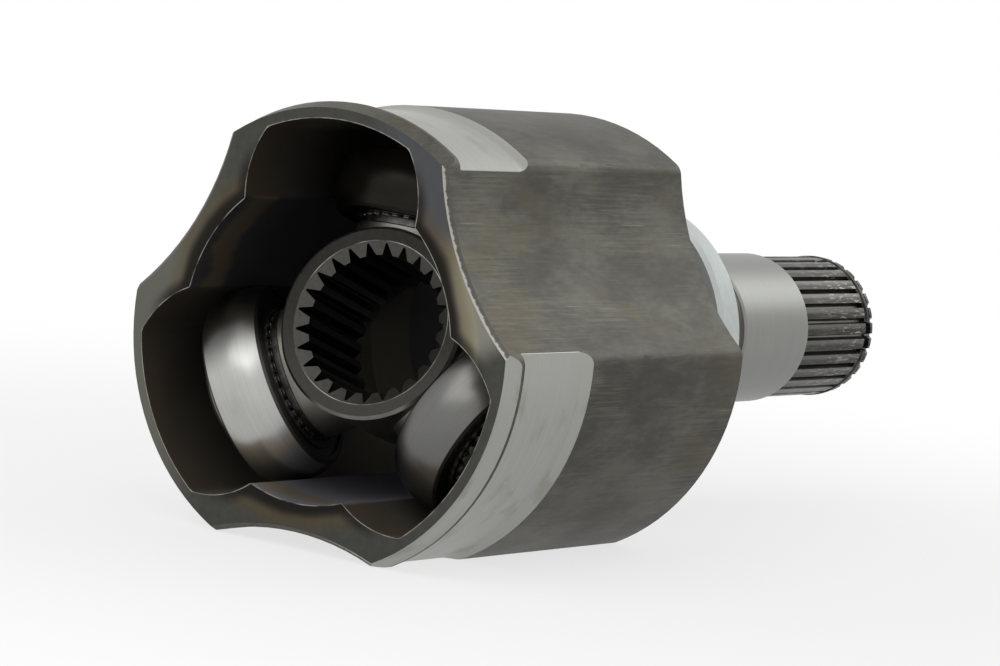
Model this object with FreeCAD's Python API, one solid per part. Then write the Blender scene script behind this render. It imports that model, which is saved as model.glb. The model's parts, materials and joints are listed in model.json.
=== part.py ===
"""Inner tripod constant-velocity joint: tulip housing with stub shaft, and the spider with its rollers.

Frame: +X runs along the joint from the mouth of the tulip to the end of the stub shaft, +Z is up, and
the origin is the centre of the mouth. One lobe points up and the joint lies on the two lower ones.
Angles round the axis are counted from +Y towards +Z, in degrees. Lengths are in millimetres.
"""
import FreeCAD, Part
import math
import os
from FreeCAD import Placement, Rotation, Vector

# Spider
HUB_SPLINE_TIP_R = 11.2
HUB_TOOTH_DEPTH = 1.7
HUB_TOOTH_COUNT = 25
HUB_SPACE_SHARE = 0.62       # share of the tooth pitch that a space takes, at the tips
HUB_SPACE_ROOT_SHARE = 0.10
HUB_WALL = 2.7               # outside the spline's roots
HUB_LENGTH = 22.9
HUB_CHAMFER = 0.5
LEAD_IN_STEP = 0.3           # from the spline's roots out to the edge of the cone that leads into it
LEAD_IN_DEPTH = 1.3
BOSS_HEIGHT = 0.7            # shoulder of the boss under a trunnion, above the outside of the hub
BOSS_SETBACK = 0.4           # how far a boss stays behind the end faces of the hub
BOSS_CHAMFER = 0.2
TRUNNION_R = 9.0
TRUNNION_END_WALL = 1.0      # metal outside the snap ring's groove
TRUNNION_CHAMFER = 0.6

# Needle bearings and rollers
NEEDLE_R = 1.0
NEEDLE_LENGTH = 9.9
ROLLER_OVERHANG = 0.1        # width of a roller beyond the needles' length
ROLLER_WALL = 5.14           # between the bore and the top of the crowned running face
ROLLER_CROWN_R = 10.0        # radius of the running face, in a plane through the roller's axis
ROLLER_CHAMFER = 0.4
ROLLER_RECESS_DEPTH = 0.35   # shallow turned recess in each end face
ROLLER_RECESS_INSET = 1.0    # flat that is left beside the recess
INNER_WASHER_THICKNESS = 1.0
OUTER_WASHER_THICKNESS = 0.8
OUTER_WASHER_COVER = 0.9     # how far the outer washer reaches over the needles' ends
SNAP_RING_THICKNESS = 1.2
SNAP_RING_WIDTH = 1.8
SNAP_GROOVE_DEPTH = 1.0
SNAP_RING_GAP_ANGLE = 60.0

# Tulip housing
PITCH_INSET = 0.35           # the tracks' middle lines lie this far inside the needles' middle
CROWN_INSET = 4.3            # the crown cuts the tracks' circles off by this much
CROWN_WALL = 2.7             # wall outside the crown
LAND_RISE = 3.75             # from the tracks' middle lines out to the lands between them
LAND_WALL = 4.6              # wall at the middle of a flank
FLANK_CURVE_R = 47.0         # radius of the hollow flanks
LOBE_CORNER_R = 2.5          # rounding where lobe and flank meet
CROWN_CORNER_R = 2.4         # rounding between a track and its crown
LAND_CORNER_R = 0.6          # rounding between a track and the land beside it
TULIP_LENGTH = 67.8          # from the mouth to the back face of the lobes
BACK_WALL = 5.8              # between the floor of the tracks and the back face
FLOOR_DISH_R = 19.0          # dished hollow in the floor, for the end of the drive shaft
FLOOR_DISH_DEPTH = 4.0
MOUTH_CHAMFER = 0.7

# Turned boot seat on the lobes
CONE_LENGTH = 3.2            # cone round the mouth, over which the boot slides on
CONE_DEPTH = 1.0             # below the forged surface of the lobes, at the mouth
LIP_WIDTH = 0.7              # forged lip that is left between the cone and the seat
SEAT_LENGTH = 16.1           # flat seat, from the lip to its run-out
SEAT_DEPTH = 0.9             # below the forged surface of the lobes
SEAT_RUN_OUT_R = 5.4         # hollow that leads from the seat back up to the forged surface

# Stub shaft
NECK_ROOT_STEP = 7.15        # from the middle of a flank in to the neck, at the back of the tulip
NECK_ROOT_FILLET = 3.0
NECK_TAPER_LENGTH = 8.2
SHIELD_SEAT_R = 19.0
SHIELD_SEAT_LENGTH = 10.0
SHIELD_SEAT_CHAMFER = 1.0
WAIST_FILLET = 4.0
WAIST_LENGTH = 14.7
WAIST_STEP = 0.3             # how far the waist lies below the ground journal
JOURNAL_STEP = 0.6           # how far the journal stands above the spline
JOURNAL_LENGTH = 21.2
JOURNAL_LEAD = 1.0
STUB_SPLINE_R = 12.8
STUB_SPLINE_LENGTH = 26.1
STUB_TOOTH_COUNT = 28
STUB_TOOTH_DEPTH = 1.15
STUB_SPACE_SHARE = 0.36      # share of the tooth pitch that a space takes, at the tips
STUB_SPACE_ROOT_SHARE = 0.12
STUB_END_CHAMFER = 1.3
CENTRE_HOLE_R = 3.2
CENTRE_HOLE_DEPTH = 6.0
CIRCLIP_WIDTH = 1.6
CIRCLIP_CHAMFER = 0.45
CIRCLIP_FROM_END = 3.0       # from the end of the stub to the middle of the circlip
CIRCLIP_STAND_OUT = 0.15     # how far the circlip stands out of the spline
CIRCLIP_GAP_ANGLE = 24.0

# Dust shield, a pressed ring
SHIELD_SHEET = 1.2
SHIELD_SETBACK = 2.0         # from the start of its seat to the shield's front face
SHIELD_FRONT_WIDTH = 6.0     # from the seat out to the edge of the front face
SHIELD_TAPER = 2.1           # how far the skirt draws in from front to rim
SHIELD_DEPTH = 9.0
SHIELD_SLEEVE_LENGTH = 6.5
SHIELD_BEND = 0.7            # flat that stands in for each pressed bend

# Clearances
TRACK_CLEARANCE = 0.4        # between a roller and its track, when the roller is in the middle
NEEDLE_CLEARANCE = 0.03      # between needle and trunnion, and between needle and roller
NEEDLE_END_PLAY = 0.1
WASHER_CLEARANCE = 0.25      # between the inner washer's rim and the roller's bore
SEAT_CLEARANCE = 0.03        # between a ring and what it is fitted on
GROOVE_CLEARANCE = 0.1       # between a ring and each wall of its groove

# Travel and rest pose
MAX_ANGLE = 20.0             # largest angle between the spider's axis and the joint's
REST_ANGLE = 18.0            # lean of the spider at rest
REST_DEPTH = 22.3            # from the mouth to the middle of the spider, at rest

TRUNNIONS = {"top": 90.0, "right": 210.0, "left": 330.0}
FLANKS = {"upper_left": 30.0, "upper_right": 150.0, "under": 270.0}
SWIVEL = "right"             # trunnion that the spider leans about

# Radii of the spider and its bearings
HUB_SPLINE_ROOT_R = HUB_SPLINE_TIP_R + HUB_TOOTH_DEPTH
LEAD_IN_R = HUB_SPLINE_ROOT_R + LEAD_IN_STEP
HUB_R = HUB_SPLINE_ROOT_R + HUB_WALL
BOSS_R = HUB_LENGTH / 2 - BOSS_SETBACK
NEEDLE_PITCH_R = TRUNNION_R + NEEDLE_CLEARANCE + NEEDLE_R
NEEDLE_COUNT = int(math.pi / math.asin(NEEDLE_R / NEEDLE_PITCH_R))
ROLLER_BORE_R = NEEDLE_PITCH_R + NEEDLE_R + NEEDLE_CLEARANCE
ROLLER_R = ROLLER_BORE_R + ROLLER_WALL
ROLLER_WIDTH = NEEDLE_LENGTH + ROLLER_OVERHANG
INNER_WASHER_R = ROLLER_BORE_R - WASHER_CLEARANCE
OUTER_WASHER_R = NEEDLE_PITCH_R - NEEDLE_R + OUTER_WASHER_COVER
WASHER_BORE_R = TRUNNION_R + SEAT_CLEARANCE
SNAP_GROOVE_R = TRUNNION_R - SNAP_GROOVE_DEPTH

# Places along a trunnion, from the hub's axis
SHOULDER_FROM_AXIS = HUB_R + BOSS_HEIGHT
NEEDLE_START = SHOULDER_FROM_AXIS + INNER_WASHER_THICKNESS + NEEDLE_END_PLAY
OUTER_WASHER_START = NEEDLE_START + NEEDLE_LENGTH + NEEDLE_END_PLAY
SNAP_GROOVE_START = OUTER_WASHER_START + OUTER_WASHER_THICKNESS
SNAP_GROOVE_END = SNAP_GROOVE_START + SNAP_RING_THICKNESS + 2 * GROOVE_CLEARANCE
TRUNNION_END = SNAP_GROOVE_END + TRUNNION_END_WALL

# Radii of the tulip and the stub shaft
TRACK_PITCH_R = NEEDLE_START + NEEDLE_LENGTH / 2 - PITCH_INSET
TRACK_R = ROLLER_R + TRACK_CLEARANCE
CROWN_R = TRACK_PITCH_R + TRACK_R - CROWN_INSET
LOBE_R = CROWN_R + CROWN_WALL
LAND_R = TRACK_PITCH_R + LAND_RISE
FLANK_R = LAND_R + LAND_WALL
NECK_ROOT_R = FLANK_R - NECK_ROOT_STEP
JOURNAL_R = STUB_SPLINE_R + JOURNAL_STEP
WAIST_R = JOURNAL_R - WAIST_STEP
CIRCLIP_OUTER_R = STUB_SPLINE_R + CIRCLIP_STAND_OUT
CIRCLIP_GROOVE_R = CIRCLIP_OUTER_R - CIRCLIP_WIDTH - SEAT_CLEARANCE
SHIELD_FRONT_R = SHIELD_SEAT_R + SHIELD_FRONT_WIDTH
SHIELD_RIM_R = SHIELD_FRONT_R - SHIELD_TAPER

# Places along the joint's axis
CAVITY_DEPTH = TULIP_LENGTH - BACK_WALL
SHIELD_SEAT_START = TULIP_LENGTH + NECK_ROOT_FILLET + NECK_TAPER_LENGTH
SHIELD_SEAT_END = SHIELD_SEAT_START + SHIELD_SEAT_LENGTH
SHIELD_FRONT = SHIELD_SEAT_START + SHIELD_SETBACK
WAIST_START = SHIELD_SEAT_END + SHIELD_SEAT_CHAMFER + WAIST_FILLET
JOURNAL_START = WAIST_START + WAIST_LENGTH
JOURNAL_END = JOURNAL_START + JOURNAL_LENGTH
STUB_END = JOURNAL_END + STUB_SPLINE_LENGTH
CIRCLIP_MIDDLE = STUB_END - CIRCLIP_FROM_END

# The two trunnions that swing lean away from their tracks' middle lines by the angle's cosine. Their
# rollers and the hub are placed so that this error is the same at both ends of the swing.
SWINGING_ROLLER_FROM_AXIS = 2 * TRACK_PITCH_R / (1 + math.cos(math.radians(MAX_ANGLE)))
HUB_OFFSET = (SWINGING_ROLLER_FROM_AXIS - TRACK_PITCH_R) / 2
SWIVEL_ROLLER_FROM_AXIS = TRACK_PITCH_R - HUB_OFFSET

ORIGIN = Vector(0, 0, 0)
X_AXIS = Vector(1, 0, 0)
Z_AXIS = Vector(0, 0, 1)
THROUGH = 1.0                # how far a cutting tool runs past the face that it starts from
SAME_PLACE = 1e-6            # points closer than this are the same


def around(radius, degrees):
    """Point in the plane of the mouth, at a radius and angle round the joint's axis."""
    angle = math.radians(degrees)
    return Vector(0, radius * math.cos(angle), radius * math.sin(angle))


def arc(start, middle, end):
    return Part.Arc(start, middle, end).toShape()


def quarter(centre, radius, first_degrees):
    """Quarter circle in the XY plane, counted from +X."""
    points = []
    for degrees in (first_degrees, first_degrees + 45, first_degrees + 90):
        angle = math.radians(degrees)
        points.append(centre + Vector(radius * math.cos(angle), radius * math.sin(angle), 0))
    return points


def along_x(edges, start, length):
    """Solid with a closed outline in the plane of the mouth, running along +X from `start`."""
    solid = Part.Face(Part.Wire(edges)).extrude(Vector(length, 0, 0))
    solid.translate(Vector(start, 0, 0))
    return solid


def turned(corners, degrees=360.0):
    """Solid turned about the joint's axis from (x, radius) corners."""
    points = [Vector(x, radius, 0) for x, radius in corners]
    return Part.Face(Part.makePolygon(points + points[:1])).revolve(ORIGIN, X_AXIS, degrees)


def turned_upright(corners, degrees=360.0):
    """Solid turned about the Z axis from (radius, height) corners."""
    points = [Vector(radius, 0, height) for radius, height in corners]
    return Part.Face(Part.makePolygon(points + points[:1])).revolve(ORIGIN, Z_AXIS, degrees)


def axial_edges(solid, radius):
    """Straight edges parallel to the joint's axis, at a radius from it."""
    found = []
    for edge in solid.Edges:
        points = [vertex.Point for vertex in edge.Vertexes]
        if len(points) < 2:
            continue
        parallel = math.hypot(points[1].y - points[0].y, points[1].z - points[0].z) < SAME_PLACE
        if parallel and abs(math.hypot(points[0].y, points[0].z) - radius) < SAME_PLACE:
            found.append(edge)
    return found


def mouth_edges(solid):
    """Edges that lie in the plane of the mouth."""
    found = []
    for edge in solid.Edges:
        if all(abs(vertex.Point.x) < SAME_PLACE for vertex in edge.Vertexes):
            found.append(edge)
    return found


def spline_spaces(outline, count, start, end):
    """Cutters for the spaces of a spline, each with (radius, share of the pitch) corners."""
    pitch = 360.0 / count
    one_side = [around(radius, share * pitch / 2) for radius, share in outline]
    other_side = [around(radius, -share * pitch / 2) for radius, share in reversed(outline)]
    corners = one_side + other_side
    space = along_x([Part.makePolygon(corners + corners[:1])], start, end - start)
    spaces = []
    for index in range(count):
        copy = space.copy()
        copy.rotate(ORIGIN, X_AXIS, index * pitch)
        spaces.append(copy)
    return Part.makeCompound(spaces)


def bar(radius, length, from_axis=0.0, degrees=0.0):
    """Cylinder along +X from the mouth, its middle at a radius and angle round the joint's axis."""
    return Part.makeCylinder(radius, length, around(from_axis, degrees), X_AXIS)


def cavity():
    """Space inside the tulip: three tracks cut off by the crown, the lands and a dished floor."""
    tracks = [bar(TRACK_R, CAVITY_DEPTH, TRACK_PITCH_R, lobe) for lobe in TRUNNIONS.values()]
    tracks = tracks[0].fuse(tracks[1:]).common(bar(CROWN_R, CAVITY_DEPTH))
    space = tracks.fuse(bar(LAND_R, CAVITY_DEPTH)).removeSplitter()
    space = space.makeFillet(CROWN_CORNER_R, axial_edges(space, CROWN_R))
    space = space.makeFillet(LAND_CORNER_R, axial_edges(space, LAND_R))
    dish = turned([
        (CAVITY_DEPTH - THROUGH, 0.0),
        (CAVITY_DEPTH - THROUGH, FLOOR_DISH_R),
        (CAVITY_DEPTH, FLOOR_DISH_R),
        (CAVITY_DEPTH + FLOOR_DISH_DEPTH, FLOOR_DISH_R / 2),
        (CAVITY_DEPTH + FLOOR_DISH_DEPTH, 0.0),
    ])
    return space.fuse(dish)


def boot_seat():
    """Metal that turning takes off the lobes for the boot: a cone, and a seat with its run-out."""
    outside = LOBE_R + THROUGH
    seat_start = CONE_LENGTH + LIP_WIDTH
    seat_end = seat_start + SEAT_LENGTH
    seat_r = LOBE_R - SEAT_DEPTH
    centre = Vector(seat_end, seat_r + SEAT_RUN_OUT_R, 0)
    rise = math.acos((centre.y - outside) / SEAT_RUN_OUT_R)
    run_out = []
    for turn in (0.0, rise / 2, rise):
        run_out.append(centre + Vector(math.sin(turn), -math.cos(turn), 0) * SEAT_RUN_OUT_R)
    front = Vector(seat_start, outside, 0)
    floor = [front, Vector(seat_start, seat_r, 0), Vector(seat_end, seat_r, 0)]
    edges = [Part.makePolygon(floor), arc(*run_out), Part.makeLine(run_out[-1], front)]
    seat = Part.Face(Part.Wire(edges)).revolve(ORIGIN, X_AXIS, 360.0)
    cone = turned([(0.0, LOBE_R - CONE_DEPTH), (CONE_LENGTH, LOBE_R), (CONE_LENGTH, outside), (0.0, outside)])
    return Part.makeCompound([seat, cone])


def stub_blank():
    """Stub shaft as it is turned, from the dish in the tulip's floor to its chamfered end."""
    start = CAVITY_DEPTH + FLOOR_DISH_DEPTH
    seat_end = SHIELD_SEAT_END + SHIELD_SEAT_CHAMFER
    root_centre = Vector(TULIP_LENGTH + NECK_ROOT_FILLET, NECK_ROOT_R + NECK_ROOT_FILLET, 0)
    waist_centre = Vector(seat_end + WAIST_FILLET, WAIST_R + WAIST_FILLET, 0)
    root_curve = quarter(root_centre, NECK_ROOT_FILLET, 180)
    waist_curve = quarter(waist_centre, WAIST_FILLET, 180)
    front = [
        Vector(start, 0, 0),
        Vector(start, FLOOR_DISH_R / 2, 0),
        Vector(TULIP_LENGTH, root_curve[0].y, 0),
    ]
    seat = [
        root_curve[-1],
        Vector(SHIELD_SEAT_START, SHIELD_SEAT_R, 0),
        Vector(SHIELD_SEAT_END, SHIELD_SEAT_R, 0),
        Vector(seat_end, SHIELD_SEAT_R - SHIELD_SEAT_CHAMFER, 0),
        waist_curve[0],
    ]
    shaft = [
        waist_curve[-1],
        Vector(JOURNAL_START - JOURNAL_LEAD, WAIST_R, 0),
        Vector(JOURNAL_START, JOURNAL_R, 0),
        Vector(JOURNAL_END, JOURNAL_R, 0),
        Vector(JOURNAL_END, STUB_SPLINE_R, 0),
        Vector(STUB_END - STUB_END_CHAMFER, STUB_SPLINE_R, 0),
        Vector(STUB_END, STUB_SPLINE_R - STUB_END_CHAMFER, 0),
        Vector(STUB_END, 0, 0),
        front[0],
    ]
    edges = [
        Part.makePolygon(front),
        arc(*root_curve),
        Part.makePolygon(seat),
        arc(*waist_curve),
        Part.makePolygon(shaft),
    ]
    wire = Part.Wire([edge for piece in edges for edge in piece.Edges])
    return Part.Face(wire).revolve(ORIGIN, X_AXIS, 360.0)


def stub_shaft():
    """Stub shaft with its external spline, circlip groove and centre hole."""
    root_r = STUB_SPLINE_R - STUB_TOOTH_DEPTH
    outline = [
        (root_r, STUB_SPACE_ROOT_SHARE),
        (STUB_SPLINE_R, STUB_SPACE_SHARE),
        (STUB_SPLINE_R + THROUGH, STUB_SPACE_SHARE),
    ]
    groove_half = CIRCLIP_WIDTH / 2 + GROOVE_CLEARANCE
    groove = turned([
        (CIRCLIP_MIDDLE - groove_half, CIRCLIP_GROOVE_R),
        (CIRCLIP_MIDDLE + groove_half, CIRCLIP_GROOVE_R),
        (CIRCLIP_MIDDLE + groove_half, STUB_SPLINE_R + THROUGH),
        (CIRCLIP_MIDDLE - groove_half, STUB_SPLINE_R + THROUGH),
    ])
    centre_hole = turned([
        (STUB_END - CENTRE_HOLE_DEPTH, 0.0),
        (STUB_END, CENTRE_HOLE_R),
        (STUB_END + THROUGH, CENTRE_HOLE_R),
        (STUB_END + THROUGH, 0.0),
    ])
    spaces = spline_spaces(outline, STUB_TOOTH_COUNT, JOURNAL_END, STUB_END + THROUGH)
    return stub_blank().cut(spaces).cut(groove).cut(centre_hole)


def tulip_housing():
    """One forging: the tulip, its neck, the ground journal and the splined end."""
    flanks = [
        bar(FLANK_CURVE_R, TULIP_LENGTH, FLANK_R + FLANK_CURVE_R, flank) for flank in FLANKS.values()
    ]
    tulip = bar(LOBE_R, TULIP_LENGTH).cut(flanks).removeSplitter()
    tulip = tulip.makeFillet(LOBE_CORNER_R, axial_edges(tulip, LOBE_R))
    tulip = tulip.makeChamfer(MOUTH_CHAMFER, mouth_edges(tulip))
    tulip = tulip.cut(boot_seat()).cut(cavity())
    return tulip.fuse(stub_shaft()).removeSplitter()


def stub_circlip():
    """Snap ring with chamfered corners, in its groove near the end of the stub."""
    front = CIRCLIP_MIDDLE - CIRCLIP_WIDTH / 2
    back = front + CIRCLIP_WIDTH
    outer = CIRCLIP_OUTER_R
    inner = outer - CIRCLIP_WIDTH
    corner = CIRCLIP_CHAMFER
    section = [
        (front, inner + corner),
        (front + corner, inner),
        (back - corner, inner),
        (back, inner + corner),
        (back, outer - corner),
        (back - corner, outer),
        (front + corner, outer),
        (front, outer - corner),
    ]
    ring = turned(section, 360.0 - CIRCLIP_GAP_ANGLE)
    ring.rotate(ORIGIN, X_AXIS, 180.0 + CIRCLIP_GAP_ANGLE / 2)
    return ring


def dust_shield():
    """Pressed ring: a sleeve on its seat, a flat front and a skirt that tapers back to the rim."""
    bore = SHIELD_SEAT_R + SEAT_CLEARANCE
    back = SHIELD_FRONT + SHIELD_DEPTH
    sleeve_end = SHIELD_FRONT + SHIELD_SLEEVE_LENGTH
    inside = SHIELD_FRONT + SHIELD_SHEET
    return turned([
        (SHIELD_FRONT, bore + SHIELD_BEND),
        (SHIELD_FRONT + SHIELD_BEND, bore),
        (sleeve_end, bore),
        (sleeve_end, bore + SHIELD_SHEET),
        (inside, bore + SHIELD_SHEET),
        (inside, SHIELD_FRONT_R - SHIELD_SHEET),
        (back, SHIELD_RIM_R - SHIELD_SHEET),
        (back, SHIELD_RIM_R),
        (SHIELD_FRONT + SHIELD_BEND, SHIELD_FRONT_R),
        (SHIELD_FRONT, SHIELD_FRONT_R - SHIELD_BEND),
    ])


def trunnion():
    """Trunnion along +Z, from inside the hub to its chamfered end, with its snap ring groove."""
    return turned_upright([
        (0.0, HUB_SPLINE_ROOT_R),
        (TRUNNION_R, HUB_SPLINE_ROOT_R),
        (TRUNNION_R, SNAP_GROOVE_START),
        (SNAP_GROOVE_R, SNAP_GROOVE_START),
        (SNAP_GROOVE_R, SNAP_GROOVE_END),
        (TRUNNION_R, SNAP_GROOVE_END),
        (TRUNNION_R, TRUNNION_END - TRUNNION_CHAMFER),
        (TRUNNION_R - TRUNNION_CHAMFER, TRUNNION_END),
        (0.0, TRUNNION_END),
    ])


def boss():
    """Round boss along +Z, from inside the hub to the trunnion's shoulder."""
    return turned_upright([
        (0.0, HUB_SPLINE_ROOT_R / 2),
        (BOSS_R, HUB_SPLINE_ROOT_R / 2),
        (BOSS_R, SHOULDER_FROM_AXIS - BOSS_CHAMFER),
        (BOSS_R - BOSS_CHAMFER, SHOULDER_FROM_AXIS),
        (0.0, SHOULDER_FROM_AXIS),
    ])


def on_trunnion(shape, name):
    """Copy of a shape made along +Z, turned onto one trunnion of a spider that stands at the origin."""
    copy = shape.copy()
    copy.rotate(ORIGIN, X_AXIS, TRUNNIONS[name] - TRUNNIONS["top"])
    return copy


def tripod_spider():
    """Hub with an internal spline, and three trunnions, standing at the origin."""
    half = HUB_LENGTH / 2
    full_teeth = half - LEAD_IN_DEPTH
    hub = turned([
        (-half, 0.0),
        (-half, HUB_R - HUB_CHAMFER),
        (HUB_CHAMFER - half, HUB_R),
        (half - HUB_CHAMFER, HUB_R),
        (half, HUB_R - HUB_CHAMFER),
        (half, 0.0),
    ])
    for name in TRUNNIONS:
        hub = hub.fuse([on_trunnion(boss(), name), on_trunnion(trunnion(), name)])
    bore = turned([
        (-half - THROUGH, 0.0),
        (-half - THROUGH, LEAD_IN_R),
        (-half, LEAD_IN_R),
        (-full_teeth, HUB_SPLINE_TIP_R),
        (full_teeth, HUB_SPLINE_TIP_R),
        (half, LEAD_IN_R),
        (half + THROUGH, LEAD_IN_R),
        (half + THROUGH, 0.0),
    ])
    outline = [
        (HUB_SPLINE_TIP_R - THROUGH, HUB_SPACE_SHARE),
        (HUB_SPLINE_TIP_R, HUB_SPACE_SHARE),
        (HUB_SPLINE_ROOT_R, HUB_SPACE_ROOT_SHARE),
    ]
    spaces = spline_spaces(outline, HUB_TOOTH_COUNT, -half, half)
    return hub.cut(bore).cut(spaces).removeSplitter()


def roller(from_axis):
    """Crowned roller round a trunnion along +Z, with its middle at a distance from the hub's axis."""
    half = ROLLER_WIDTH / 2
    crown_centre = ROLLER_R - ROLLER_CROWN_R
    edge_r = crown_centre + math.sqrt(ROLLER_CROWN_R ** 2 - (half - ROLLER_CHAMFER) ** 2)
    recess_start = ROLLER_BORE_R + ROLLER_CHAMFER + ROLLER_RECESS_INSET
    recess_end = edge_r - ROLLER_CHAMFER - ROLLER_RECESS_INSET
    lower = [
        (edge_r, ROLLER_CHAMFER - half),
        (edge_r - ROLLER_CHAMFER, -half),
        (recess_end, -half),
        (recess_end, ROLLER_RECESS_DEPTH - half),
        (recess_start, ROLLER_RECESS_DEPTH - half),
        (recess_start, -half),
        (ROLLER_BORE_R + ROLLER_CHAMFER, -half),
        (ROLLER_BORE_R, ROLLER_CHAMFER - half),
    ]
    upper = [(radius, -height) for radius, height in reversed(lower)]
    points = [Vector(radius, 0, height) for radius, height in lower + upper]
    crown = arc(points[-1], Vector(ROLLER_R, 0, 0), points[0])
    section = Part.Face(Part.Wire([Part.makePolygon(points), crown]))
    solid = section.revolve(ORIGIN, Z_AXIS, 360.0)
    solid.translate(Vector(0, 0, from_axis))
    return solid


def needle_set():
    """Full ring of loose needles round a trunnion along +Z."""
    needles = []
    for index in range(NEEDLE_COUNT):
        angle = 2 * math.pi * index / NEEDLE_COUNT
        foot = Vector(NEEDLE_PITCH_R * math.cos(angle), NEEDLE_PITCH_R * math.sin(angle), NEEDLE_START)
        needles.append(Part.makeCylinder(NEEDLE_R, NEEDLE_LENGTH, foot, Z_AXIS))
    return Part.makeCompound(needles)


def ring_upright(bore_r, outer_r, start, thickness, gap_degrees=0.0):
    """Flat ring round a trunnion along +Z, with an optional gap."""
    ring = turned_upright(
        [
            (bore_r, start),
            (outer_r, start),
            (outer_r, start + thickness),
            (bore_r, start + thickness),
        ],
        360.0 - gap_degrees,
    )
    ring.rotate(ORIGIN, Z_AXIS, gap_degrees / 2)
    return ring


def trunnion_parts(name):
    """What one trunnion carries, by node name, for a spider that stands at the origin."""
    from_axis = SWIVEL_ROLLER_FROM_AXIS if name == SWIVEL else SWINGING_ROLLER_FROM_AXIS
    snap_bore_r = SNAP_GROOVE_R + SEAT_CLEARANCE
    parts = {
        "roller": roller(from_axis),
        "needle_set": needle_set(),
        "inner_washer": ring_upright(
            WASHER_BORE_R, INNER_WASHER_R, SHOULDER_FROM_AXIS, INNER_WASHER_THICKNESS
        ),
        "outer_washer": ring_upright(
            WASHER_BORE_R, OUTER_WASHER_R, OUTER_WASHER_START, OUTER_WASHER_THICKNESS
        ),
        "snap_ring": ring_upright(
            snap_bore_r,
            snap_bore_r + SNAP_RING_WIDTH,
            SNAP_GROOVE_START + GROOVE_CLEARANCE,
            SNAP_RING_THICKNESS,
            SNAP_RING_GAP_ANGLE,
        ),
    }
    return {kind + "_" + name: on_trunnion(shape, name) for kind, shape in parts.items()}


def rest_placement():
    """Place of the spider at rest: pushed along the swivel trunnion, and leaning about it."""
    swivel_axis = around(1.0, TRUNNIONS[SWIVEL])
    middle = Vector(REST_DEPTH, 0, 0) + swivel_axis * HUB_OFFSET
    return Placement(middle, Rotation(swivel_axis, -REST_ANGLE))


def all_parts():
    """Every piece of the joint at rest, by node name."""
    spider_parts = {"tripod_spider": tripod_spider()}
    for name in TRUNNIONS:
        spider_parts.update(trunnion_parts(name))
    for shape in spider_parts.values():
        shape.Placement = rest_placement().multiply(shape.Placement)
    return {
        "tulip_housing": tulip_housing(),
        "dust_shield": dust_shield(),
        "stub_circlip": stub_circlip(),
        **spider_parts,
    }


os.makedirs("parts", exist_ok=True)
for node, shape in all_parts().items():
    if not shape.isValid():
        raise ValueError(node + " is not a valid solid")
    shape.exportStep("parts/" + node + ".step")
    print(f"{node:22s} solids {len(shape.Solids):3d}  volume {shape.Volume:10.1f}")
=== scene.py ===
"""Looks for the inner tripod joint: a material for every piece, a pale floor, soft light and the camera."""

import json
import math

import bpy
from mathutils import Matrix, Vector


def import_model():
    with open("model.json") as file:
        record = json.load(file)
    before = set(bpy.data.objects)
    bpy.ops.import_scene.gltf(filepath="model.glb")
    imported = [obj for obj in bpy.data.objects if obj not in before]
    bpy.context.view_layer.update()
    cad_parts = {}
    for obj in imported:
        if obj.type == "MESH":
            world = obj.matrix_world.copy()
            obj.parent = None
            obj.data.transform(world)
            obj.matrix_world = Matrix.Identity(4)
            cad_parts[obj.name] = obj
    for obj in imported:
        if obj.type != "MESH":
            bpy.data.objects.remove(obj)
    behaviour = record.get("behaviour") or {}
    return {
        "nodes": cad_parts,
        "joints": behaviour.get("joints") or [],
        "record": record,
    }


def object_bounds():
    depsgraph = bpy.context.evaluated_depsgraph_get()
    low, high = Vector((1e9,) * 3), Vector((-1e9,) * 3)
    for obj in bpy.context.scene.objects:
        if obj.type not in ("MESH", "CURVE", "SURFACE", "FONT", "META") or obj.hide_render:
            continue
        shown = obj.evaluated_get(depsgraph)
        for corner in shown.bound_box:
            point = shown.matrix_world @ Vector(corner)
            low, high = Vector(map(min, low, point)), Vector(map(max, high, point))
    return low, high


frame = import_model()
cad_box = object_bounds()

MM = 0.001

# Tulip and stub shaft, as in the part's source
CROWN_R = 34.3 * MM
LAND_R = 25.75 * MM
TRACK_PITCH_R = 22.0 * MM
TRACK_R = 16.6 * MM
LOBE_ANGLES = (90.0, 210.0, 330.0)
CONE_END = 3.2 * MM
CONE_MOUTH_R = 36.0 * MM
SEAT_START = 3.9 * MM
SEAT_END = 20.0 * MM
SEAT_R = 36.1 * MM
RUN_OUT_LENGTH = 4.0 * MM
CAVITY_DEPTH = 62.0 * MM
TULIP_END = 67.8 * MM
SPLINE_R = 12.8 * MM
SPLINE_ROOT_R = 11.65 * MM
SPLINE_TEETH = 28

# Spider and rollers, as in the part's source
HUB_R = 15.6 * MM
HUB_LENGTH = 22.9 * MM
LEAD_IN_R = 13.2 * MM
TOOTH_ROOT_R = 12.9 * MM
TOOTH_TIP_R = 11.2 * MM
ROLLER_WIDTH = 10.0 * MM

# Marks of heat, turning and use, and painted light and shade, where the photograph shows them. Each pair is the
# place where a mark begins to show and the place where it is full.
# Painted shade: above the first height the cone at the mouth keeps the darker forged colour instead of its turned
# colour.
CONE_TOP_SHADE = (20 * MM, 8 * MM)             # height
BROWN_TRACKS = (18 * MM, 7 * MM)            # depth from the mouth
# Painted highlight: the lower land is paler.
LOW_LAND_HIGHLIGHT = (-12 * MM, -20 * MM)        # height
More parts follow.
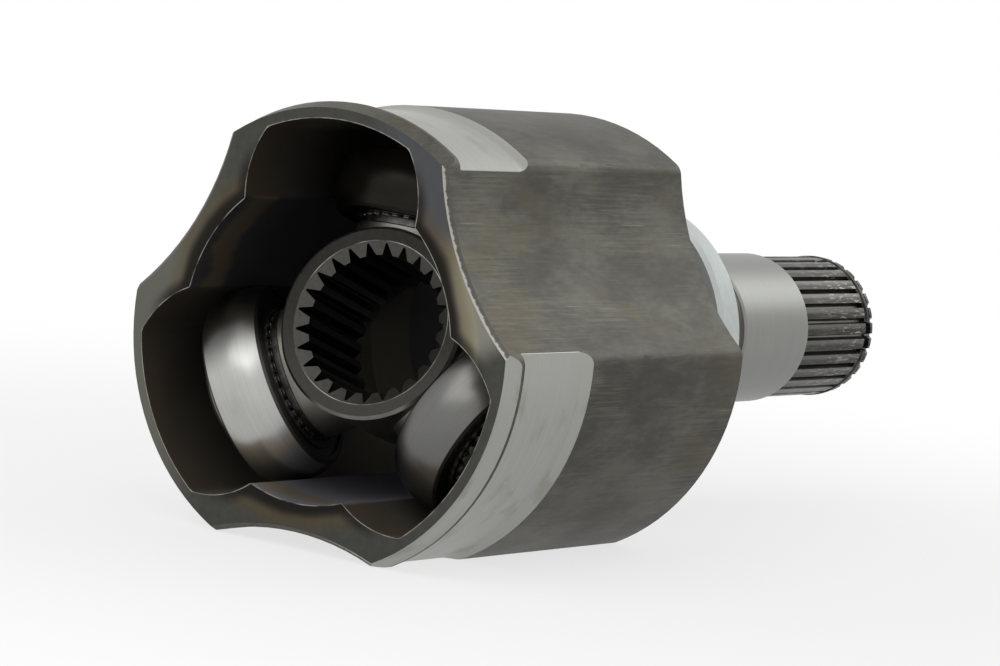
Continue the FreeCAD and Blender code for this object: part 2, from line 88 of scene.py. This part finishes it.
# Painted light: the face of the mouth is paler towards the left.
LIT_LEFT_FACE = (18 * MM, 30 * MM)         # out to the left
RIGHT_FACE = (22 * MM, 27 * MM)             # out from the axis, square to the right flank
BLUE_RIGHT_FACE = (2 * MM, -10 * MM)        # down along the right flank
STRAW_RIGHT_FACE = (-8 * MM, 0.0)           # down along the right flank
BURNT_FACE = (2.6 * MM, 0.8 * MM)           # out from the lands, along an uneven line
DARK_RADIUS = (34 * MM, 29 * MM)
DARK_EDGE = (2.4 * MM, 0.4 * MM)            # from the cavity's edge
# Painted highlight: a thin bright line along the cavity's edge.
EDGE_HIGHLIGHT = (0.16 * MM, 0.06 * MM)               # from the cavity's edge
# Painted highlight: a bright line along the chamfer on the right.
RIM_HIGHLIGHT_SIDE = (-4 * MM, -14 * MM)            # out to the right
CHIPPED_TEETH = (130 * MM, 150 * MM)        # along the stub
# Painted light: the lower part of the spider's ring face is paler.
LIT_LOW_RING = (2 * MM, -12 * MM)          # height in the spider's own frame
SHADE_FADE_ON_ROLLER = (5 * MM, 13 * MM)             # from the lit band, over which the painted shade comes in
ROLLER_SHADE = {"top": 1.0, "right": 0.7, "left": 0.05}            # how far painted shade darkens each roller's steel
LIT_BAND = {"top": 0.0, "right": 0.0, "left": 7 * MM}       # place of the lit band on each roller, down its front, that the painted shade leaves
RIGHT_FLANK_SLOPE = math.radians(30)

# The camera stands where the photograph was taken from
CAMERA_PLACE = Vector((-508.383, -374.354, 68.357)) * MM
CAMERA_RIGHT = Vector((0.56203, -0.81834, 0.12021))
CAMERA_AHEAD = Vector((0.82697, 0.55316, -0.10072))
LENS = 147.41
SENSOR_WIDTH = 36.0
NEAREST, FARTHEST = 0.05, 50.0

# Studio
LAMPS = (
    # name, place, size, brightness in a mirror
    ("front lamp", (-0.62, 0.05, 0.7), 0.8, 1.3),
    ("back lamp", (0.75, -0.25, 0.5), 0.5, 1.7),
)
AMBIENT = 0.45                  # strength of the light from all round
FLOOR_REACH = 3.0
FLOOR_FADE = (0.06, 0.26)       # distances over which the paper goes over into white
FLOOR_WHITE = 0.72              # share of white at the object, for the eye
PAPER_LEVEL = 240
PAPER_ROUGHNESS = 0.9


def colour(red, green, blue):
    """Linear colour from the 0 to 255 levels of a picture."""
    linear = []
    for level in (red, green, blue):
        share = level / 255
        linear.append(share / 12.92 if share <= 0.04045 else ((share + 0.055) / 1.055) ** 2.4)
    return (*linear, 1.0)


def grey(level):
    return colour(level, level, level)


class Nodes:
    """A node tree, with short names for the nodes that are put into it."""

    def __init__(self, tree):
        self.tree = tree

    def put(self, value, socket):
        if isinstance(value, bpy.types.NodeSocket):
            self.tree.links.new(value, socket)
        else:
            socket.default_value = value

    def math(self, operation, *values):
        node = self.tree.nodes.new("ShaderNodeMath")
        node.operation = operation
        for value, socket in zip(values, node.inputs):
            self.put(value, socket)
        return node.outputs[0]

    def both(self, *shares):
        """Product of several 0 to 1 shares."""
        total = shares[0]
        for share in shares[1:]:
            total = self.math("MULTIPLY", total, share)
        return total

    def either(self, *shares):
        """Largest of several 0 to 1 shares."""
        total = shares[0]
        for share in shares[1:]:
            total = self.math("MAXIMUM", total, share)
        return total

    def vector(self, operation, *values):
        node = self.tree.nodes.new("ShaderNodeVectorMath")
        node.operation = operation
        for value, socket in zip(values, node.inputs):
            self.put(value, socket)
        return node.outputs["Value" if operation in ("LENGTH", "DOT_PRODUCT") else "Vector"]

    def parts(self, vector):
        node = self.tree.nodes.new("ShaderNodeSeparateXYZ")
        self.put(vector, node.inputs[0])
        return node.outputs

    def local(self, vector, matrix):
        """Vector brought into a piece's own frame, from that frame's matrix at rest."""
        node = self.tree.nodes.new("ShaderNodeMapping")
        node.vector_type = "TEXTURE"
        self.put(matrix.to_translation(), node.inputs["Location"])
        self.put(matrix.to_euler(), node.inputs["Rotation"])
        self.put(vector, node.inputs["Vector"])
        return node.outputs["Vector"]

    def rise(self, value, start, end):
        """0 at start and 1 at end, smooth between them; start may be the larger."""
        node = self.tree.nodes.new("ShaderNodeMapRange")
        node.interpolation_type = "SMOOTHSTEP"
        self.put(value, node.inputs["Value"])
        self.put(min(start, end), node.inputs["From Min"])
        self.put(max(start, end), node.inputs["From Max"])
        self.put(float(start > end), node.inputs["To Min"])
        self.put(float(start < end), node.inputs["To Max"])
        return node.outputs["Result"]

    def within(self, value, low, high, soft):
        """1 from low to high, falling to 0 over a soft edge on each side."""
        return self.both(self.rise(value, low - soft, low), self.rise(value, high + soft, high))

    def span(self, value, low, high):
        """A 0 to 1 value spread from low to high."""
        node = self.tree.nodes.new("ShaderNodeMapRange")
        self.put(value, node.inputs["Value"])
        self.put(low, node.inputs["To Min"])
        self.put(high, node.inputs["To Max"])
        return node.outputs["Result"]

    def noise(self, vector, density, detail=4.0, roughness=0.55):
        """Noise with a density, in grains to the metre, along each axis or the same along all three."""
        node = self.tree.nodes.new("ShaderNodeTexNoise")
        self.put(1.0, node.inputs["Scale"])
        self.put(detail, node.inputs["Detail"])
        self.put(roughness, node.inputs["Roughness"])
        densities = density if isinstance(density, tuple) else (density, density, density)
        self.put(self.vector("MULTIPLY", vector, densities), node.inputs["Vector"])
        return node.outputs["Fac"]

    def specks(self, vector, density, size):
        """Scattered round specks, with a share of the room between them as their size."""
        node = self.tree.nodes.new("ShaderNodeTexVoronoi")
        self.put(density, node.inputs["Scale"])
        self.put(vector, node.inputs["Vector"])
        return self.rise(node.outputs["Distance"], size, size / 2)

    def mix(self, share, one, other):
        """One colour where the share is 0, the other where it is 1."""
        node = self.tree.nodes.new("ShaderNodeMix")
        node.data_type = "RGBA"
        sockets = [socket for socket in node.inputs if socket.type == "RGBA"]
        self.put(share, node.inputs[0])
        self.put(one, sockets[0])
        self.put(other, sockets[1])
        return next(socket for socket in node.outputs if socket.type == "RGBA")

    def coats(self, base, *coats):
        """Colour under coats, each with the share that says where it lies, its strength there and its colour."""
        for share, strength, over in coats:
            base = self.mix(self.math("MULTIPLY", share, strength), base, over)
        return base


class Paint(Nodes):
    """Node material of bare metal."""

    def __init__(self, name):
        self.material = bpy.data.materials.new(name)
        self.material.use_nodes = True
        super().__init__(self.material.node_tree)
        self.shader = self.tree.nodes["Principled BSDF"]
        self.put(1.0, self.shader.inputs["Metallic"])
        coordinates = self.tree.nodes.new("ShaderNodeTexCoord")
        self.place = coordinates.outputs["Object"]
        self.normal = coordinates.outputs["Normal"]

    def bump(self, height, strength, depth):
        node = self.tree.nodes.new("ShaderNodeBump")
        self.put(strength, node.inputs["Strength"])
        self.put(depth, node.inputs["Distance"])
        self.put(height, node.inputs["Height"])
        self.put(node.outputs["Normal"], self.shader.inputs["Normal"])

    def finish(self, base, roughness):
        self.put(base, self.shader.inputs["Base Color"])
        self.put(roughness, self.shader.inputs["Roughness"])
        return self.material


def named(entries, name):
    return next(entry for entry in entries if entry["name"] == name)


def trunnion(name):
    """Direction of a roller's axis at rest, and the middle of the roller."""
    joint = named(frame["joints"], f"roller_{name}_spin")
    return Vector(joint["axis"]).normalized(), Vector(joint["pos_m"])


def matrix_of(along, out, middle):
    """Matrix with x along a direction and z out along another that is square to it."""
    matrix = Matrix((along, out.cross(along), out)).transposed().to_4x4()
    matrix.translation = middle
    return matrix


def hub_axis():
    """Direction of the hub's axis at rest, towards the stub."""
    across = trunnion("top")[0].cross(trunnion("right")[0])
    return across.normalized() * math.copysign(1.0, across.x)


def spider_matrix():
    """The spider's own frame at rest: x along the hub, z along its upper trunnion."""
    hub_front = Vector(named(frame["record"]["mounts"], "hub_spline")["pos_m"])
    return matrix_of(hub_axis(), trunnion("top")[0], hub_front + hub_axis() * HUB_LENGTH / 2)


def roller_matrix(name):
    """A roller's own frame at rest: z out along its trunnion, from its middle."""
    return matrix_of(hub_axis(), *trunnion(name))


class Housing(Paint):
    """One forging that is left rough, turned, ground, hardened or phosphated, by place."""

    def __init__(self):
        super().__init__("housing steel")
        self.across = self.vector("MULTIPLY", self.place, (0.0, 1.0, 1.0))
        self.x, self.y, self.z = self.parts(self.place)
        self.radius = self.vector("LENGTH", self.across)
        self.facing_front = self.math("MULTIPLY", self.parts(self.normal)[0], -1.0)
        self.facing_out = self.vector("DOT_PRODUCT", self.normal, self.vector("NORMALIZE", self.across))
        self.streaks = self.noise(self.place, (90.0, 2600.0, 2600.0), detail=5.0, roughness=0.65)
        self.clouds = self.noise(self.place, (60.0, 95.0, 95.0), detail=5.0)
        self.rings = self.noise(self.place, (5200.0, 25.0, 25.0), detail=2.0)

    def forged(self):
        """Drawn forging: mottled olive grey, streaked along the joint in patches, with thin scratches."""
        grain = self.noise(self.place, (420.0, 1100.0, 1100.0))
        blotches = self.noise(self.place, (60.0, 130.0, 130.0))
        patches = self.noise(self.place, (45.0, 120.0, 120.0), detail=3.0)
        scratches = self.noise(self.place, (70.0, 4200.0, 4200.0), detail=2.0, roughness=0.4)
        streaked = self.both(self.rise(self.streaks, 0.46, 0.68), self.rise(patches, 0.4, 0.6))
        scratched = self.both(self.rise(scratches, 0.68, 0.78), self.rise(patches, 0.46, 0.58))
        return self.coats(
            self.mix(self.rise(grain, 0.25, 0.75), colour(72, 71, 65), colour(86, 85, 78)),
            (self.rise(blotches, 0.54, 0.34), 0.6, colour(60, 59, 54)),
            (self.rise(blotches, 0.48, 0.68), 0.5, colour(102, 101, 92)),
            (self.rise(self.clouds, 0.5, 0.68), 0.5, colour(84, 77, 60)),
            (streaked, 0.5, colour(110, 107, 95)),
            (self.rise(self.streaks, 0.5, 0.3), 0.45, colour(58, 57, 52)),
            (scratched, 0.4, colour(156, 152, 140)),
        )

    def turned_seat(self):
        """Turned boot seat: fine rings and a little grime."""
        grime = self.noise(self.place, (210.0, 120.0, 120.0), detail=5.0)
        return self.coats(
            self.mix(self.rings, colour(146, 147, 141), colour(168, 169, 163)),
            (self.rise(grime, 0.52, 0.72), 0.5, colour(126, 122, 112)),
        )

    def on_turned_seat(self):
        """The cone at the mouth, with its turned colour fading out towards the top as painted shade, and the seat
        with the hollow that runs out to the forged skin.
        """
        cone = self.both(
            self.rise(self.x, CONE_END + 0.05 * MM, CONE_END - 0.05 * MM),
            self.rise(self.radius, CONE_MOUTH_R - 0.1 * MM, CONE_MOUTH_R - 0.05 * MM),
            self.within(self.facing_front, 0.2, 0.4, 0.05),
            # painted shade: the cone's turned colour fades out towards the top
            self.rise(self.z, *CONE_TOP_SHADE),
        )
        high = self.rise(self.radius, SEAT_R - 0.1 * MM, SEAT_R - 0.05 * MM)
        seat = self.both(self.within(self.x, SEAT_START + 0.03 * MM, SEAT_END + 0.1 * MM, 0.03 * MM), high)
        run_out = self.both(
            self.within(self.x, SEAT_END, SEAT_END + RUN_OUT_LENGTH, 0.1 * MM),
            self.rise(self.facing_front, 0.02, 0.05),
            high,
        )
        return self.both(self.either(cone, seat, run_out), self.rise(self.facing_out, 0.5, 0.7))

    def inside(self):
        """Hardened tracks: dark, with a brown tint that fades in from the mouth, bluish lands and a painted
        highlight on the lower land.
        """
        reach = self.math("MULTIPLY_ADD", self.clouds, 12 * MM, self.x)
        land = self.rise(self.radius, LAND_R + 0.5 * MM, LAND_R + 0.2 * MM)
        # painted highlight on the lower land
        lit_low_land = self.both(land, self.rise(self.z, *LOW_LAND_HIGHLIGHT))
        spot = self.both(land, self.within(reach, 10 * MM, 13 * MM, 2.5 * MM))
        return self.coats(
            self.mix(self.clouds, colour(124, 119, 110), colour(154, 148, 138)),
            (self.rise(reach, *BROWN_TRACKS), 0.7, colour(128, 113, 94)),
            (land, 0.7, colour(104, 106, 118)),
            (lit_low_land, 0.8, colour(176, 176, 188)),
            (spot, 0.8, colour(166, 152, 126)),
        )

    def from_cavity(self):
        """Distance from the cavity's edge, out over the face of the mouth."""
        crown = self.math("SUBTRACT", self.radius, CROWN_R)
        edge = self.math("SUBTRACT", self.radius, LAND_R)
        for degrees in LOBE_ANGLES:
            angle = math.radians(degrees)
            middle = Vector((0.0, math.cos(angle), math.sin(angle))) * TRACK_PITCH_R
            from_middle = self.vector("LENGTH", self.vector("SUBTRACT", self.across, middle))
            track = self.math("MAXIMUM", self.math("SUBTRACT", from_middle, TRACK_R), crown)
            edge = self.math("MINIMUM", edge, track)
        return edge

    def mouth(self):
        """Ground face with temper colours beside the hardened lands, painted light towards the left, and a painted
        highlight along the cavity's edge.
        """
        sine, cosine = math.sin(RIGHT_FLANK_SLOPE), math.cos(RIGHT_FLANK_SLOPE)
        outward = self.vector("DOT_PRODUCT", self.across, (0.0, -cosine, sine))
        down = self.vector("DOT_PRODUCT", self.across, (0.0, -sine, -cosine))
        on_right = self.rise(outward, *RIGHT_FACE)
        blue = self.both(on_right, self.rise(down, *BLUE_RIGHT_FACE))
        pale = self.both(on_right, self.within(down, 2 * MM, 11 * MM, 5 * MM))

        drift = self.noise(self.place, 55.0, detail=2.0)
        heat = self.math("SUBTRACT", self.math("MULTIPLY_ADD", drift, -3 * MM, self.radius), LAND_R - 1.5 * MM)
        straw_band = self.within(heat, 3.0 * MM, 4.2 * MM, 1.2 * MM)
        brown_band = self.within(heat, 1.7 * MM, 2.4 * MM, 2.6 * MM)
        straw = self.both(on_right, straw_band, self.rise(down, *STRAW_RIGHT_FACE))

        edge = self.from_cavity()
        near_land = self.both(self.rise(self.radius, *DARK_RADIUS), self.rise(edge, *DARK_EDGE))
        glint = self.noise(self.place, 260.0, detail=3.0)
        # painted highlight along the cavity's edge
        cavity_edge_highlight = self.both(self.rise(edge, *EDGE_HIGHLIGHT), self.rise(glint, 0.3, 0.6))
        fine = self.noise(self.place, 700.0)
        return self.coats(
            self.mix(fine, colour(60, 60, 56), colour(80, 80, 75)),
            # painted light: the face is paler towards the left
            (self.rise(self.y, *LIT_LEFT_FACE), 0.7, colour(108, 107, 99)),
            (blue, 0.6, colour(84, 85, 91)),
            (pale, 0.75, colour(142, 140, 130)),
            (straw, 0.65, colour(146, 139, 117)),
            (brown_band, 0.42, colour(90, 76, 50)),
            (self.rise(heat, *BURNT_FACE), 0.9, colour(36, 33, 30)),
            (near_land, 0.8, colour(34, 32, 30)),
            (cavity_edge_highlight, 0.8, colour(166, 163, 153)),
        )

    def rim(self):
        """Chamfer round the mouth: dull, with a painted highlight along one flank."""
        sparkle = self.noise(self.place, 1500.0, detail=5.0)
        ragged = self.math("MULTIPLY_ADD", sparkle, -0.7 * MM, self.x)
        # painted highlight along the chamfer on the right
        wear_and_highlight = self.both(self.rise(ragged, -0.02 * MM, -0.16 * MM), self.rise(self.y, *RIM_HIGHLIGHT_SIDE))
        return self.coats(
            self.mix(sparkle, colour(74, 73, 69), colour(104, 103, 98)),
            (wear_and_highlight, 0.8, colour(182, 180, 172)),
        )

    def teeth(self):
        """Phosphated teeth: dark, with a painted highlight along one flank of each tooth and painted light in the
        spaces, chipped towards the end.
        """
        height = self.rise(self.radius, SPLINE_ROOT_R, SPLINE_R - 0.05 * MM)
        turn = self.math("MULTIPLY", self.math("ARCTAN2", self.z, self.y), SPLINE_TEETH)
        # painted highlight along one flank of each tooth
        lit_flank = self.rise(self.math("SINE", turn), -0.3, 1.0)
        tops = self.mix(lit_flank, colour(42, 41, 38), colour(90, 89, 84))
        wear_and_highlight = self.noise(self.place, (160.0, 2400.0, 2400.0), detail=5.0)
        chips = self.noise(self.place, (420.0, 2200.0, 2200.0), roughness=0.7)
        chipped = self.both(self.rise(chips, 0.54, 0.62), height, self.rise(self.x, *CHIPPED_TEETH))
        return self.coats(
            # painted light in the spaces between the teeth
            self.mix(height, colour(108, 107, 101), tops),
            (self.rise(wear_and_highlight, 0.48, 0.66), 0.6, colour(76, 75, 69)),
            (chipped, 0.7, colour(158, 158, 150)),
        )

    def stub(self):
        """Dark waist, satin ground journal and the teeth."""
        journal = named(frame["record"]["mounts"], "stub_journal")
        half = journal["dims"]["length_mm"] * MM / 2
        start, end = journal["pos_m"][0] - half, journal["pos_m"][0] + half
        fine = self.noise(self.place, (6500.0, 18.0, 18.0), detail=3.0)
        waist = self.mix(fine, colour(54, 53, 50), colour(78, 76, 72))
        ground = self.mix(fine, colour(118, 119, 115), colour(140, 141, 137))
        shaft = self.mix(self.rise(self.x, start - 0.9 * MM, start - 0.5 * MM), waist, ground)
        return self.mix(self.rise(self.x, end - 0.02 * MM, end + 0.03 * MM), shaft, self.teeth())

    def dress(self):
        front = self.facing_front
        turned = self.on_turned_seat()
        floor = self.both(self.rise(front, 0.5, 0.9), self.rise(self.x, CAVITY_DEPTH / 2, CAVITY_DEPTH))
        outside = self.math("MULTIPLY", self.rise(self.facing_out, -0.05, 0.05), self.math("SUBTRACT", 1.0, floor))
        on_mouth = self.both(self.rise(front, 0.9, 0.97), self.rise(self.x, 1.0 * MM, 0.5 * MM))
        on_rim = self.both(self.within(front, 0.4, 0.85, 0.1), self.rise(self.x, 1.2 * MM, 0.8 * MM))
        on_stub = self.rise(self.x, TULIP_END + 0.05 * MM, TULIP_END + 0.3 * MM)

        base = self.mix(turned, self.forged(), self.turned_seat())
        base = self.mix(outside, self.inside(), base)
        base = self.mix(on_mouth, base, self.mouth())
        base = self.mix(on_rim, base, self.rim())
        base = self.mix(on_stub, base, self.stub())

        inside_rough, machined_rough = 0.5, 0.38
        rough = self.math("SUBTRACT", self.span(self.streaks, 0.42, 0.6), inside_rough)
        rough = self.math("MULTIPLY_ADD", outside, rough, inside_rough)
        machined = self.either(turned, on_mouth, on_stub)
        rough = self.math("MULTIPLY_ADD", machined, self.math("SUBTRACT", machined_rough, rough), rough)
        self.bump(self.math("MULTIPLY_ADD", self.rings, machined, self.streaks), 0.2, 0.04 * MM)
        return self.finish(base, rough)


def spider_paint():
    """Hardened forging: dark, with a turned ring face, painted highlights on its thin edges, painted light on the
    lower part of the ring face and painted shade in the tooth spaces, darkest at the roots.
    """
    paint = Paint("spider steel")
    place = paint.local(paint.place, spider_matrix())
    radius = paint.vector("LENGTH", paint.vector("MULTIPLY", place, (0.0, 1.0, 1.0)))
    facing_x = paint.math("ABSOLUTE", paint.vector("DOT_PRODUCT", paint.normal, hub_axis()))
    clouds = paint.noise(place, 160.0, detail=6.0)
    fine = paint.noise(place, 1500.0, detail=3.0)

    flat = paint.rise(facing_x, 0.93, 0.98)
    on_ring = paint.both(flat, paint.within(radius, LEAD_IN_R, HUB_R, 0.05 * MM))
    on_tooth_ends = paint.both(
        paint.within(facing_x, 0.45, 0.9, 0.05),
        paint.rise(radius, LEAD_IN_R + 0.05 * MM, LEAD_IN_R - 0.05 * MM),
    )
    # painted highlight on the hub's outer rounded edge
    on_rim = paint.both(
        paint.within(facing_x, 0.45, 0.85, 0.1),
        paint.rise(radius, HUB_R - 1.0 * MM, HUB_R - 0.6 * MM),
        paint.rise(radius, HUB_R + 0.3 * MM, HUB_R + 0.1 * MM),
        paint.rise(clouds, 0.4, 0.6),
    )
    # painted highlight on the ring's inner edge
    lip_highlight = paint.both(
        flat,
        paint.within(radius, LEAD_IN_R, LEAD_IN_R + 0.1 * MM, 0.04 * MM),
        paint.rise(clouds, 0.35, 0.65),
    )
    # painted shade in the bore, darkest at the tooth roots
    shaded_bore = paint.both(
        paint.rise(radius, LEAD_IN_R + 0.1 * MM, LEAD_IN_R),
        paint.rise(facing_x, 0.45, 0.3),
    )

    ring = paint.coats(
        paint.mix(fine, colour(36, 35, 33), colour(50, 49, 46)),
        # painted light: the lower part of the ring face is paler
        (paint.rise(paint.parts(place)[2], *LIT_LOW_RING), 0.35, colour(80, 79, 75)),
    )
    height = paint.rise(radius, TOOTH_ROOT_R, TOOTH_TIP_R)
    base = paint.coats(
        paint.mix(clouds, colour(116, 114, 107), colour(142, 140, 132)),
        (on_ring, 1.0, ring),
        (on_tooth_ends, 1.0, paint.mix(fine, colour(66, 65, 61), colour(92, 90, 85))),
        (on_rim, 0.6, colour(150, 148, 142)),
        (lip_highlight, 0.7, colour(170, 168, 162)),
        (shaded_bore, 1.0, paint.mix(height, colour(58, 57, 53), colour(84, 82, 77))),
    )
    paint.bump(clouds, 0.1, 0.04 * MM)
    return paint.finish(base, paint.span(clouds, 0.3, 0.48))


def roller_paint(name):
    """Polished bearing steel with faint running marks and ground end faces, darkened by painted shade: each roller
    by its own share, and away from a lit band down its front.
    """
    paint = Paint(f"roller steel {name}")
    place = paint.local(paint.place, roller_matrix(name))
    radius = paint.vector("LENGTH", paint.vector("MULTIPLY", place, (1.0, 1.0, 0.0)))
    _, down, out = paint.parts(place)
    marks = paint.noise(place, (22.0, 22.0, 4200.0), detail=3.0)
    smears = paint.noise(place, (110.0, 110.0, 260.0), detail=5.0)

    end = paint.rise(paint.math("ABSOLUTE", out), ROLLER_WIDTH / 2 - 0.5 * MM, ROLLER_WIDTH / 2 - 0.3 * MM)
    lathe = paint.math("SINE", paint.math("MULTIPLY", radius, 9000.0))
    face = paint.mix(paint.math("MULTIPLY_ADD", lathe, 0.5, 0.5), colour(72, 71, 69), colour(98, 97, 94))
    # painted shade over the roller, away from a lit band down its front
    from_lit_band = paint.math("ABSOLUTE", paint.math("SUBTRACT", down, LIT_BAND[name]))
    shaded_ends = paint.math("MULTIPLY", paint.rise(from_lit_band, *SHADE_FADE_ON_ROLLER), 0.85)
    shade_share = paint.math("MAXIMUM", ROLLER_SHADE[name], shaded_ends)
    base = paint.coats(
        paint.mix(marks, colour(172, 172, 169), colour(192, 192, 189)),
        (paint.rise(smears, 0.5, 0.7), 0.25, colour(150, 148, 144)),
        (end, 1.0, face),
        (shade_share, 1.0, paint.mix(smears, colour(26, 25, 22), colour(48, 46, 42))),
    )
    paint.bump(marks, 0.05, 0.02 * MM)
    rough = paint.math("MULTIPLY_ADD", end, 0.14, paint.span(smears, 0.26, 0.36))
    return paint.finish(base, rough)


def small_steel(name, dark, light, roughness, density):
    """Steel of small pieces: cloudy colour, fine grain and uneven gloss."""
    paint = Paint(name)
    clouds = paint.noise(paint.place, density, detail=5.0)
    fine = paint.noise(paint.place, density * 6, detail=3.0)
    base = paint.coats(
        paint.mix(paint.rise(clouds, 0.35, 0.65), dark, light),
        (paint.rise(fine, 0.55, 0.75), 0.35, dark),
    )
    paint.bump(fine, 0.08, 0.02 * MM)
    return paint.finish(base, paint.span(clouds, roughness - 0.06, roughness + 0.08))


def shield_paint():
    """Zinc plate: pale silver with a faint spangle, and painted light on the side that faces the tulip, which is
    also less metallic there.
    """
    paint = Paint("zinc plate")
    clouds = paint.noise(paint.place, 130.0, detail=5.0)
    spangle = paint.specks(paint.place, 700.0, 0.7)
    # painted light on the side that faces the tulip
    lit_front = paint.rise(paint.parts(paint.normal)[0], -0.5, -0.9)
    base = paint.coats(
        paint.mix(clouds, colour(150, 158, 155), colour(180, 187, 184)),
        (spangle, 0.15, colour(128, 136, 136)),
        (lit_front, 1.0, colour(222, 226, 224)),
    )
    paint.put(paint.span(lit_front, 1.0, 0.2), paint.shader.inputs["Metallic"])
    paint.bump(spangle, 0.04, 0.02 * MM)
    return paint.finish(base, paint.span(clouds, 0.26, 0.42))


def dress():
    """Give every piece its material."""
    needle = small_steel("needle steel", grey(150), grey(208), 0.18, 900.0)
    washer = small_steel("washer steel", colour(70, 69, 67), colour(106, 105, 102), 0.34, 500.0)
    spring = small_steel("spring steel", colour(38, 37, 36), colour(70, 69, 66), 0.38, 500.0)
    materials = {
        "tulip_housing": Housing().dress(),
        "tripod_spider": spider_paint(),
        "dust_shield": shield_paint(),
        "stub_circlip": spring,
    }
    for name in ROLLER_SHADE:
        materials[f"roller_{name}"] = roller_paint(name)
        materials[f"needle_set_{name}"] = needle
        materials[f"inner_washer_{name}"] = washer
        materials[f"outer_washer_{name}"] = washer
        materials[f"snap_ring_{name}"] = spring
    for node, material in materials.items():
        mesh = frame["nodes"][node].data
        mesh.materials.clear()
        mesh.materials.append(material)


def eye_and_gloss(nodes):
    """1 for rays from the camera and from glossy or clear surfaces, 0 for the light on the object."""
    path = nodes.tree.nodes.new("ShaderNodeLightPath")
    return nodes.either(*(path.outputs[f"Is {ray} Ray"] for ray in ("Camera", "Glossy", "Transmission")))


def world():
    """White for the eye and for reflections, and grey as the light that falls on the object."""
    sky = bpy.data.worlds.new("studio")
    sky.use_nodes = True
    nodes = Nodes(sky.node_tree)
    background = nodes.tree.nodes["Background"]
    nodes.put((1.0, 1.0, 1.0, 1.0), background.inputs["Color"])
    nodes.put(nodes.span(eye_and_gloss(nodes), AMBIENT, 1.0), background.inputs["Strength"])
    bpy.context.scene.world = sky


def floor_paper():
    """White paper that goes over into plain white for the eye, away from the object."""
    material = bpy.data.materials.new("floor paper")
    material.use_nodes = True
    nodes = Nodes(material.node_tree)
    paper = nodes.tree.nodes["Principled BSDF"]
    nodes.put(grey(PAPER_LEVEL), paper.inputs["Base Color"])
    nodes.put(PAPER_ROUGHNESS, paper.inputs["Roughness"])
    white = nodes.tree.nodes.new("ShaderNodeEmission")
    blend = nodes.tree.nodes.new("ShaderNodeMixShader")
    place = nodes.tree.nodes.new("ShaderNodeTexCoord").outputs["Object"]
    whiteness = nodes.span(nodes.rise(nodes.vector("LENGTH", place), *FLOOR_FADE), FLOOR_WHITE, 1.0)
    nodes.put(nodes.both(whiteness, eye_and_gloss(nodes)), blend.inputs["Fac"])
    nodes.put(paper.outputs["BSDF"], blend.inputs[1])
    nodes.put(white.outputs["Emission"], blend.inputs[2])
    nodes.put(blend.outputs["Shader"], nodes.tree.nodes["Material Output"].inputs["Surface"])
    return material


def floor():
    """Floor that keeps a soft shadow under the object."""
    middle = (cad_box[0] + cad_box[1]) / 2
    mesh = bpy.data.meshes.new("floor")
    corners = [(x * FLOOR_REACH, y * FLOOR_REACH, 0.0) for x, y in ((-1, -1), (1, -1), (1, 1), (-1, 1))]
    mesh.from_pydata(corners, [], [(0, 1, 2, 3)])
    mesh.materials.append(floor_paper())
    plane = bpy.data.objects.new("floor", mesh)
    plane.location = (middle.x, middle.y, cad_box[0].z)
    bpy.context.scene.collection.objects.link(plane)


def softbox(name, place, size, brightness):
    """Square lamp that looks at the object's middle and looks so bright in a mirror."""
    lamp = bpy.data.lights.new(name, "AREA")
    lamp.size = size
    lamp.energy = brightness * math.pi * size ** 2
    stand = bpy.data.objects.new(name, lamp)
    middle = (cad_box[0] + cad_box[1]) / 2
    stand.location = place
    stand.rotation_euler = (middle - Vector(place)).to_track_quat("-Z", "Y").to_euler()
    bpy.context.scene.collection.objects.link(stand)


def camera():
    data = bpy.data.cameras.new("camera")
    data.sensor_width = SENSOR_WIDTH
    data.lens = LENS
    data.clip_start = NEAREST
    data.clip_end = FARTHEST
    stand = bpy.data.objects.new("camera", data)
    ahead = CAMERA_AHEAD.normalized()
    right = (CAMERA_RIGHT - ahead * CAMERA_RIGHT.dot(ahead)).normalized()
    matrix = Matrix((right, right.cross(ahead), -ahead)).transposed().to_4x4()
    matrix.translation = CAMERA_PLACE
    stand.matrix_world = matrix
    bpy.context.scene.collection.objects.link(stand)
    bpy.context.scene.camera = stand


dress()
world()
floor()
for lamp in LAMPS:
    softbox(*lamp)
camera()
bpy.context.scene.view_settings.view_transform = "Standard"
